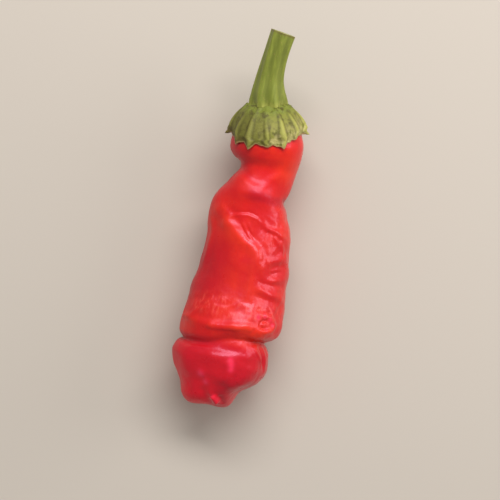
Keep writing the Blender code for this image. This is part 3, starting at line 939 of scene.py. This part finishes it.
class Finish:
    """A material, and the one way in which its nodes are made."""

    def __init__(self, name):
        self.material = bpy.data.materials.new(name)
        self.material.use_nodes = True
        self.tree = self.material.node_tree
        self.shader = self.tree.nodes["Principled BSDF"]

    def node(self, kind, settings=(), sockets=(), output=0):
        """Any node, with its settings, the values or links of its sockets, and one output of it."""
        made = self.tree.nodes.new(kind)
        for name, value in dict(settings).items():
            setattr(made, name, value)
        for name, value in dict(sockets).items():
            self.feed(made.inputs[name], value)
        return Value(self, made.outputs[output])

    def feed(self, socket, value):
        """Link a Value to the socket, or set the socket to any other value."""
        if isinstance(value, Value):
            self.tree.links.new(value.socket, socket)
        else:
            socket.default_value = value

    def set(self, **sockets):
        """Feed the shader's own sockets."""
        for name, value in sockets.items():
            self.feed(self.shader.inputs[name.replace("_", " ")], value)

    def place(self, stretch=(1.0, 1.0, 1.0)):
        """Where a point is on the piece, in metres, with each direction stretched."""
        here = self.node("ShaderNodeTexCoord", output=3)
        return self.node("ShaderNodeVectorMath", {"operation": "MULTIPLY"}, {0: here, 1: stretch})

    def fact(self, name):
        """What the mesh says of each of its points under this name."""
        return self.node("ShaderNodeAttribute", {"attribute_name": name}, output=2)

    def cloud(self, size, detail=2.0, stretch=(1.0, 1.0, 1.0), warp=0.0):
        """Soft random patches from 0 to 1, of about the size given in millimetres."""
        return self.node(
            "ShaderNodeTexNoise",
            (),
            {
                "Vector": self.place(stretch),
                "Scale": 1 / (size * MM),
                "Detail": detail,
                "Distortion": warp,
            },
        )

    def dots(self, size):
        """The distance from the nearest of many points, about that many millimetres apart."""
        return self.node(
            "ShaderNodeTexVoronoi", (), {"Vector": self.place(), "Scale": 1 / (size * MM)}
        )

    def between(self, value, low, high):
        """0 where the value is below low, 1 above high, and smooth between them."""
        return self.node(
            "ShaderNodeMapRange",
            {"interpolation_type": "SMOOTHSTEP"},
            {"Value": value, "From Min": low, "From Max": high},
        )

    def band(self, value, start, full, last, end):
        """1 where the value is from full to last, and smooth down to 0 at start and at end."""
        return self.between(value, start, full) * self.between(value, end, last)

    def mix(self, share, first, second):
        """The first colour where the share is 0 and the second where it is 1."""
        return self.node(
            "ShaderNodeMix", {"data_type": "RGBA"}, {0: share, 6: first, 7: second}, output=2
        )

    def bump(self, height, distance, strength):
        """A normal for small relief, whose full height is the distance in millimetres."""
        return self.node(
            "ShaderNodeBump",
            (),
            {"Height": height, "Distance": distance * MM, "Strength": strength},
        )


def colour(red, green, blue):
    """A colour in linear light."""
    return (red, green, blue, 1.0)


# The pod's skin
RIPE_RED = colour(0.650, 0.0095, 0.0062)
WARM_RED = colour(0.790, 0.0320, 0.0065)
CRIMSON_TONE_AND_SHADE = colour(0.400, 0.0035, 0.0120)
LOBE_TOP_SHADE_RED = colour(0.540, 0.0050, 0.0135)
TIP_PAINTED_LIGHT_RED = colour(0.790, 0.0045, 0.0165)
# Dark wine red for the painted shade in creases and the ring groove
CREASE_SHADE_WINE = colour(0.240, 0.0025, 0.0050)
PAINTED_HIGHLIGHT_PINK = colour(0.980, 0.0380, 0.0980)
PALE_FLECK = colour(0.850, 0.0900, 0.0600)

# The calyx
OLIVE = colour(0.225, 0.225, 0.032)
DEEP_OLIVE = colour(0.085, 0.078, 0.010)
PALE_RIB = colour(0.410, 0.405, 0.085)
CREAM = colour(0.560, 0.490, 0.190)
DRY_TAN = colour(0.400, 0.240, 0.100)
BROWN = colour(0.110, 0.055, 0.014)

# The stalk
STALK_GREEN = colour(0.175, 0.205, 0.024)
STALK_YELLOW = colour(0.260, 0.295, 0.040)
STALK_SHADE = colour(0.110, 0.130, 0.015)
PITH = colour(0.500, 0.510, 0.260)
CUT_BROWN = colour(0.150, 0.090, 0.030)

PALE_FLOOR = colour(0.540, 0.490, 0.420)


def ripe_skin():
    """Waxed red skin: warmer on its crests with painted light, crimson and painted shade on its
    left, painted shade on parts of it and wine painted shade in its creases, and painted pink
    highlights.

    Along is the share of the way down the pod, and side is 1 on its warm side and 0 opposite."""
    finish = Finish("ripe_skin")
    hollow, crest, painted_highlight = (finish.fact(name) for name in ("hollow", "crest", "painted_highlight"))
    along, side = finish.fact("along"), finish.fact("side")
    patches = finish.cloud(16.0, detail=2.0)
    small_patches = finish.cloud(3.2, detail=3.0, warp=0.4)
    streaks = finish.cloud(1.1, detail=3.0, stretch=(1.0, 0.12, 1.0))
    # Painted light: crests are mixed a little towards the warm red, as if lit; the warm patches are
    # the skin's own tone
    warm = finish.between(patches + 0.35 * small_patches + 0.2 * crest, 0.50, 1.0)
    skin = finish.mix(warm, RIPE_RED, WARM_RED)
    # The end lobe is deeper red in tone; its colour also runs from painted shade at its top to
    # painted light towards the tip, where it faces away from the lamps
    lobe = finish.mix(finish.between(along, 0.82, 0.93), LOBE_TOP_SHADE_RED, TIP_PAINTED_LIGHT_RED)
    skin = finish.mix(finish.between(along, 0.74, 0.78) * 0.9, skin, lobe)

    # The left side is crimson in tone and also painted darker, as in shade: more down the body from
    # the shoulder, and less from the rim on
    left_share = 0.20 * finish.between(along, 0.26, 0.42) - 0.40 * finish.between(along, 0.62, 0.70)
    left = finish.between(side, 0.92, 0.45) * (0.30 + left_share)
    # Painted shade: where the skin is darkened towards crimson as if in shade: the end lobe's right
    # side, the neck on the left, the waist, the valley below the shoulder and the right flank
    under_lobe_shade = finish.between(along, 0.80, 0.88) * finish.between(side, 0.86, 1.0)
    neck = finish.between(along, 0.26, 0.14) * finish.between(side, 0.85, 0.50)
    waist_shade = finish.band(along, 0.38, 0.50, 0.58, 0.64) * finish.between(side, 1.1, 0.55)
    valley = finish.band(along, 0.180, 0.205, 0.222, 0.245) * finish.between(side, 0.70, 0.90)
    flank = finish.band(along, 0.20, 0.25, 0.66, 0.72) * finish.between(side, 0.83, 0.94)
    streaked = finish.between(streaks, 0.50, 0.85)
    # Mixed towards crimson one after the other: painted shade for the left, the lobe, the neck, the
    # waist, the valley and the flank, and the skin's own crimson for the streaks
    crimson_tone_and_shade_marks = (
        (left, 1.0),
        (under_lobe_shade, 0.5),
        (neck, 0.45),
        (waist_shade, 0.5),
        (valley, 0.55),
        (flank, 0.16),
        (streaked, 0.18),
    )
    for place, share in crimson_tone_and_shade_marks:
        skin = finish.mix(place * share, skin, CRIMSON_TONE_AND_SHADE)
    # Painted shade: creases and the ring groove are darkened towards dark wine red
    skin = finish.mix(finish.between(hollow, 0.15, 1.0) * 0.35, skin, CREASE_SHADE_WINE)

    strokes = finish.cloud(0.85, detail=3.0, stretch=(1.0, 0.30, 1.0), warp=0.25)
    crazed = finish.band(along, 0.588, 0.625, 0.655, 0.690) * finish.between(side, 0.36, 0.62)
    skin = finish.mix(finish.between(strokes, 0.50, 0.64) * crazed * 0.38, skin, PALE_FLECK)
    flecks = finish.between(finish.dots(1.9), 0.13, 0.05) * finish.between(small_patches, 0.5, 0.7)
    skin = finish.mix(flecks * 0.22, skin, PALE_FLECK)
    # Painted highlights: soft pink spots
    skin = finish.mix(painted_highlight * 0.78, skin, PAINTED_HIGHLIGHT_PINK)

    ripples = finish.cloud(1.6, detail=2.0) * 0.8 + finish.cloud(0.5, detail=2.0) * 0.2
    ripples = ripples + 1.2 * crazed * strokes
    shoulder = finish.band(along, 0.12, 0.16, 0.19, 0.22)
    rim = finish.band(along, 0.61, 0.64, 0.69, 0.71)
    duller = 0.20 * finish.between(side, 0.6, 0.2) + 0.09 * (shoulder + rim)
    finish.set(
        Base_Color=skin,
        Roughness=0.22 + 0.16 * finish.cloud(5.0, detail=3.0) + duller,
        Normal=finish.bump(ripples, 0.16, 0.55),
        Coat_Weight=0.06 + 0.14 * flank,
        Coat_Roughness=0.20,
        Subsurface_Weight=0.10,
        Subsurface_Radius=(1.0, 0.12, 0.06),
        Subsurface_Scale=2.0 * MM,
        Specular_IOR_Level=0.38,
        Specular_Tint=colour(1.0, 0.64, 0.96),
    )
    return finish.material


def calyx_flesh():
    """Green sepals grown together: pale ribs, mottled flesh between them and a dry tan hem, with
    painted shade beside the ribs and on the left side.

    Way is the share of the way from its middle to its hem, and side is 1 on its right."""
    finish = Finish("calyx_flesh")
    rib, edge, lump, way = (finish.fact(name) for name in ("rib", "edge", "lump", "way"))
    side = finish.fact("side")
    mottle = finish.cloud(2.0, detail=4.0, warp=0.3)
    patches = finish.cloud(3.6, detail=3.0, warp=0.3)
    spots = finish.cloud(0.9, detail=2.0)
    green = finish.mix(finish.between(mottle, 0.28, 0.60), DEEP_OLIVE, OLIVE)
    cream = finish.between(patches * 0.8 + spots * 0.3, 0.44, 0.64) * finish.between(way, 0.45, 0.7)
    green = finish.mix(cream * 0.8 * finish.between(side, 0.30, 0.62), green, CREAM)
    green = finish.mix(finish.between(rib, 0.20, 0.85) * 0.80, green, PALE_RIB)
    # Painted shade: the furrows beside the ribs are darkened towards deep olive
    rib_foot_shade = finish.between(rib, 0.02, 0.12) * finish.between(rib, 0.40, 0.20)
    green = finish.mix(rib_foot_shade * 0.50, green, DEEP_OLIVE)
    # Painted shade: the left side of the calyx is darkened towards deep olive
    green = finish.mix(finish.between(side, 0.60, 0.20) * 0.55, green, DEEP_OLIVE)
    collar = finish.mix(finish.between(mottle, 0.34, 0.56), DEEP_OLIVE, STALK_GREEN)
    green = finish.mix(finish.between(way + 0.12 * spots, 0.56, 0.40), green, collar)
    brown = finish.between(spots * 0.6 + patches * 0.5, 0.66, 0.80) * finish.between(way, 0.6, 0.95)
    green = finish.mix(brown * 0.7, green, BROWN)
    left_hem = finish.between(side, 0.30, 0.06) * finish.between(way, 0.55, 0.9)
    green = finish.mix(left_hem * 0.55, green, BROWN)
    green = finish.mix(finish.between(edge + 0.45 * mottle, 0.85, 1.25) * 0.8, green, DRY_TAN)
    grain = lump * 0.5 + finish.cloud(0.55, detail=3.0) + 0.7 * finish.cloud(0.22, detail=2.0)
    finish.set(
        Base_Color=green,
        Roughness=0.50 + 0.16 * mottle,
        Normal=finish.bump(grain, 0.15, 0.8),
        Specular_IOR_Level=0.35,
        Subsurface_Weight=0.05,
        Subsurface_Radius=(0.6, 1.0, 0.2),
        Subsurface_Scale=0.8 * MM,
    )
    return finish.material


def stalk_flesh():
    """The green stalk, streaked along its ridges, with painted shade between them, pale pith and a
    browned edge where cut.

    Way is the share of the way to its foot, and share that from the middle of a cut to its edge."""
    finish = Finish("stalk_flesh")
    ridge, way, cut, share = (finish.fact(name) for name in ("ridge", "way", "cut", "share"))
    streaks = finish.cloud(0.9, detail=4.0, stretch=(1.0, 0.10, 1.0), warp=0.2)
    patches = finish.cloud(4.0, detail=2.0, stretch=(1.0, 0.4, 1.0))
    yellow = finish.between(streaks * 0.6 + patches * 0.5, 0.40, 0.75)
    green = finish.mix(yellow, STALK_GREEN, STALK_YELLOW)
    # Painted shade: the furrows between the ridges are darkened
    green = finish.mix(finish.between(ridge, 0.55, 0.05) * 0.45, green, STALK_SHADE)
    flecks = finish.between(finish.dots(1.4), 0.16, 0.07) * 0.35
    green = finish.mix(flecks, green, DRY_TAN)
    foot = finish.mix(finish.between(streaks, 0.35, 0.60), OLIVE, PALE_RIB)
    green = finish.mix(finish.between(way + 0.12 * patches, 0.90, 1.04) * 0.50, green, foot)
    brown = finish.between(way + 0.05 * streaks, 0.07, 0.03)
    green = finish.mix(brown * 0.65, green, CUT_BROWN)
    rings = finish.between(share + 0.15 * streaks, 0.80, 0.95)
    wood = finish.mix(rings, PITH, STALK_GREEN)
    bast = finish.between(share, 0.50, 0.62) * finish.between(share, 0.78, 0.66)
    wood = finish.mix(bast * 0.4, wood, PALE_RIB)
    wood = finish.mix(finish.between(patches, 0.45, 0.75) * 0.35, wood, DRY_TAN)
    green = finish.mix(cut, green, wood)
    fibres = finish.cloud(0.45, detail=3.0, stretch=(1.0, 0.10, 1.0))
    grain = fibres + 0.5 * finish.cloud(0.3, detail=2.0)
    finish.set(
        Base_Color=green,
        Roughness=0.42 + 0.18 * streaks,
        Normal=finish.bump(grain, 0.14, 0.7),
        Specular_IOR_Level=0.35,
        Subsurface_Weight=0.06,
        Subsurface_Radius=(0.6, 1.0, 0.2),
        Subsurface_Scale=1.0 * MM,
    )
    return finish.material


def ball(segments, rings):
    """A closed ball: the turn and the fall, from pole to pole, of its points, and its faces."""
    share = np.arange(segments) / segments
    crowded = CROWDING * np.sin(2 * math.pi * (share - CROWDED_TURN / 360))
    turn = np.tile(360 * share - crowded, rings - 1)
    fall = np.repeat(np.arange(1, rings) / rings, segments)
    here = 1 + np.arange(segments * (rings - 1)).reshape(rings - 1, segments)
    beside = np.roll(here, -1, axis=1)
    last = here.size + 1
    sides = np.stack([here[:-1], beside[:-1], beside[1:], here[1:]], axis=-1).reshape(-1, 4)
    faces = [(0, b, a) for a, b in zip(here[0].tolist(), beside[0].tolist())]
    faces += sides.tolist()
    faces += [(last, a, b) for a, b in zip(here[-1].tolist(), beside[-1].tolist())]
    return np.concatenate([[0], turn, [0]]), np.concatenate([[0], fall, [1]]), faces


def fine_piece(name, node, segments, rings, place, material):
    """A ball pressed into a piece: place(turn, fall) gives its points and the facts of each."""
    turn, fall, faces = ball(segments, rings)
    points, facts = place(turn, fall)
    mesh = bpy.data.meshes.new(name)
    mesh.from_pydata(((points + np.array(OVER_ORIGIN)) * MM).tolist(), [], faces)
    mesh.validate()
    mesh.shade_smooth()
    mesh.materials.append(material)
    for fact, values in facts.items():
        stored = mesh.attributes.new(fact, "FLOAT", "POINT")
        stored.data.foreach_set("value", np.asarray(values, np.float32))
    piece = bpy.data.objects.new(name, mesh)
    bpy.context.scene.collection.objects.link(piece)
    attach(piece, "root")
    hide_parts(node)


def lay_floor():
    """The pale floor that the pepper lies on."""
    bpy.ops.mesh.primitive_plane_add(size=FLOOR_SIZE, location=(0, 0, 0))
    floor = bpy.context.object
    floor.name = "floor"
    finish = Finish("pale_floor")
    finish.set(Base_Color=PALE_FLOOR, Roughness=0.80)
    floor.data.materials.append(finish.material)


def hang_light(name, place, size, watts):
    """An oval lamp that faces the middle of the floor."""
    lamp = bpy.data.lights.new(name, "AREA")
    lamp.shape = "ELLIPSE"
    lamp.size, lamp.size_y = size
    lamp.energy = watts
    lamp.color = LAMP_TINT
    light = bpy.data.objects.new(name, lamp)
    light.location = place
    light.rotation_euler = (-Vector(place)).to_track_quat("-Z", "Y").to_euler()
    bpy.context.scene.collection.objects.link(light)


def light_studio():
    """A long lamp beyond the stalk, a soft one on the right and an even sky."""
    hang_light("key_light", *KEY_LIGHT)
    hang_light("side_light", *SIDE_LIGHT)
    world = bpy.data.worlds.new("studio")
    world.use_nodes = True
    air = world.node_tree.nodes["Background"]
    air.inputs["Color"].default_value = SKY_TINT
    air.inputs["Strength"].default_value = SKY_STRENGTH
    bpy.context.scene.world = world


def set_camera():
    """The photograph's view: straight down on the front of the pod, which leans to the right."""
    bpy.context.scene.view_settings.view_transform = "Standard"
    lean = math.radians(CAMERA_LEAN_DEGREES)
    right = Vector((math.cos(lean), math.sin(lean), 0))
    up = Vector((-math.sin(lean), math.cos(lean), 0))
    back = Vector((0, 0, 1))
    target = Vector((CAMERA_ACROSS, -CAMERA_DEPTH, CAMERA_HEIGHT)) + Vector(OVER_ORIGIN)
    away = PHOTO_PIXELS * MM_PER_PIXEL * CAMERA_LENS / CAMERA_SENSOR
    lens = bpy.data.cameras.new("camera")
    lens.lens = CAMERA_LENS
    lens.sensor_width = CAMERA_SENSOR
    camera = bpy.data.objects.new("camera", lens)
    turned = Matrix((right, up, back)).transposed().to_4x4()
    camera.matrix_world = Matrix.Translation((target + back * away) * MM) @ turned
    bpy.context.scene.collection.objects.link(camera)
    bpy.context.scene.camera = camera


fine_piece("fine_pod", "pod", POD_SEGMENTS, POD_RINGS, pod_place, ripe_skin())
fine_piece("fine_calyx", "calyx", CALYX_SEGMENTS, CALYX_RINGS, calyx_place, calyx_flesh())
fine_piece("fine_stalk", "stalk", STALK_SEGMENTS, STALK_RINGS, stalk_place, stalk_flesh())
lay_floor()
light_studio()
set_camera()
